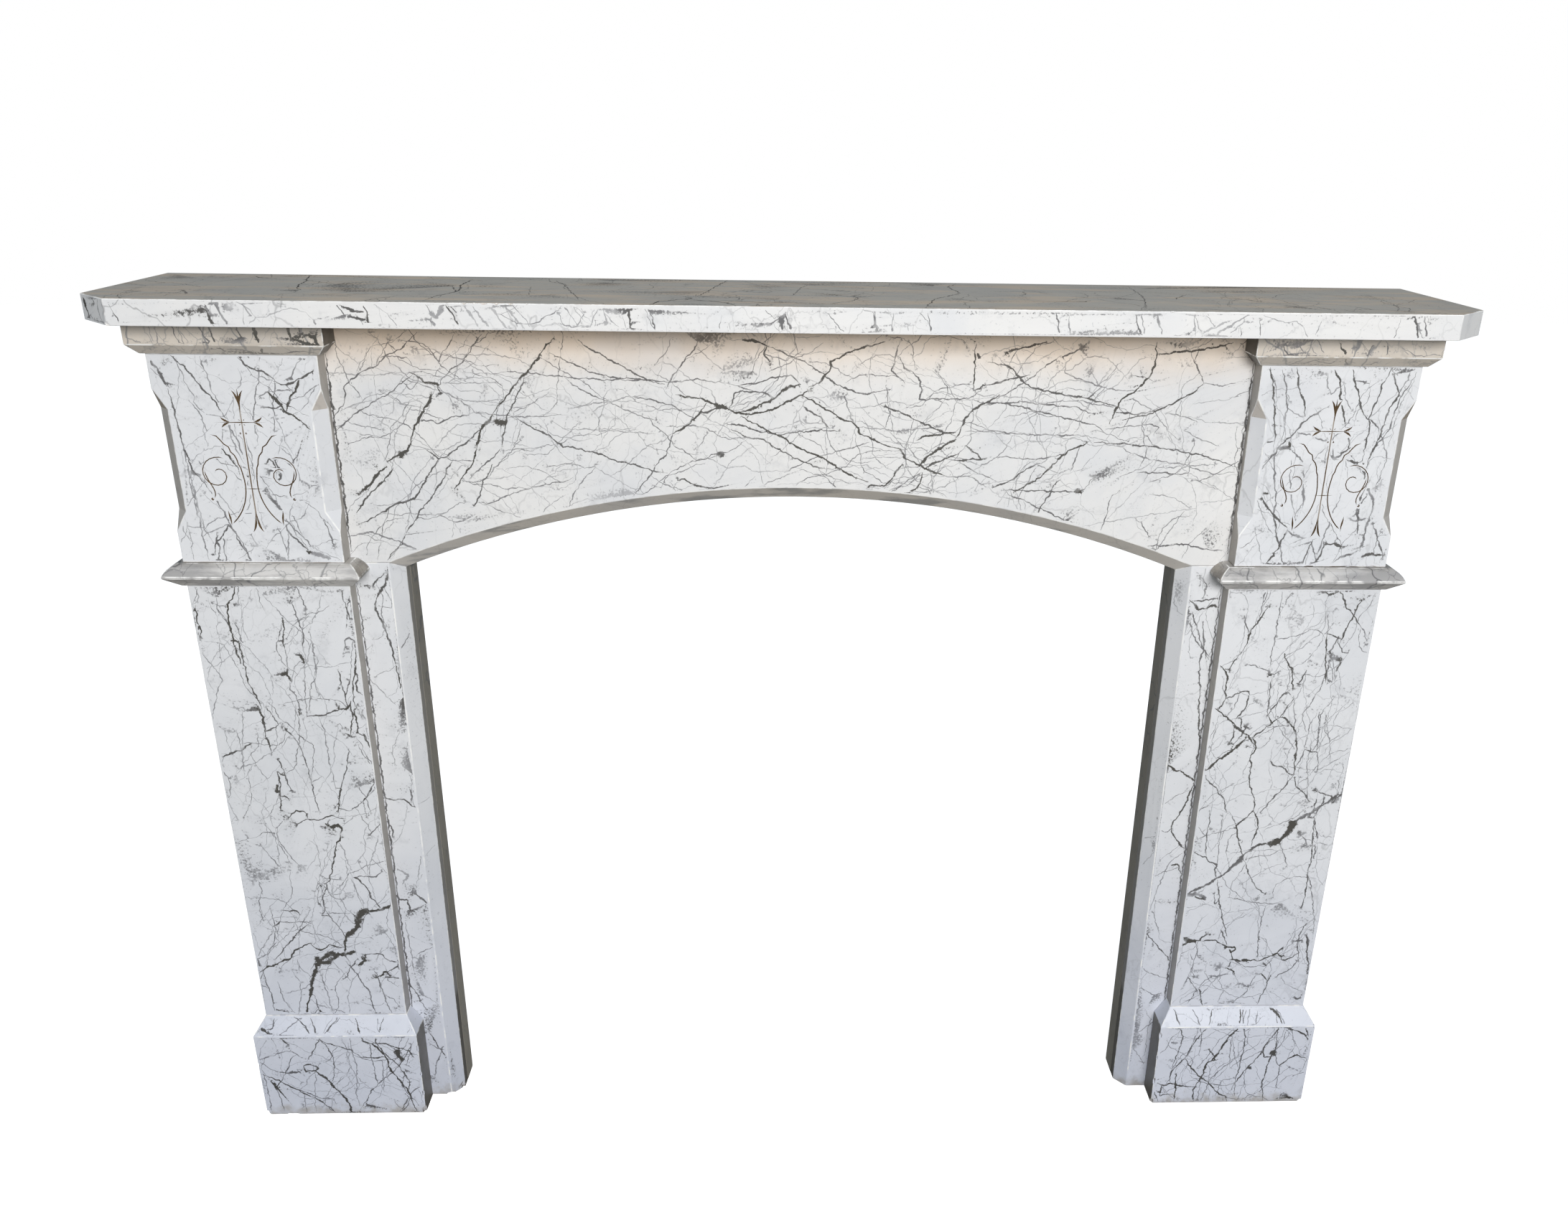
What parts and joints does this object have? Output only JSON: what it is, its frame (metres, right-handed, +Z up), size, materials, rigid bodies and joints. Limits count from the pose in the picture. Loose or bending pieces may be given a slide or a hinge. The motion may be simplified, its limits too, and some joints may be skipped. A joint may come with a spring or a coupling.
{
  "type": "fireplace mantel",
  "caption": "Free-standing marble chimneypiece with pilaster legs, corbel blocks, a low arched panel over the fire opening and a shelf with canted corners.",
  "frame": {"origin": "centre of the footprint's bounding box, on the floor", "axes": "+X along the shelf to the viewer's right, +Y into the wall, +Z up; the opening faces -Y"},
  "size_m": [1.541, 0.244, 1.1235],
  "materials": {
    "shelf_marble": "worn matte",
    "panel_marble": "honed satin",
    "moulding_marble": "honed satin",
    "inner_marble": "matte"
  },
  "bodies": {
    "root": {"shelf": "shelf_marble", "frieze": "panel_marble", "left_jamb": "panel_marble", "right_jamb": "panel_marble", "left_reveal": "inner_marble", "right_reveal": "inner_marble", "left_plinth": "panel_marble", "right_plinth": "panel_marble", "left_pilaster": "panel_marble", "right_pilaster": "panel_marble", "left_leg_return": "inner_marble", "right_leg_return": "inner_marble", "left_necking": "moulding_marble", "right_necking": "moulding_marble", "left_block": "panel_marble", "right_block": "panel_marble", "left_block_return": "inner_marble", "right_block_return": "inner_marble", "left_cap": "moulding_marble", "right_cap": "moulding_marble"}
  },
  "joints": []
}
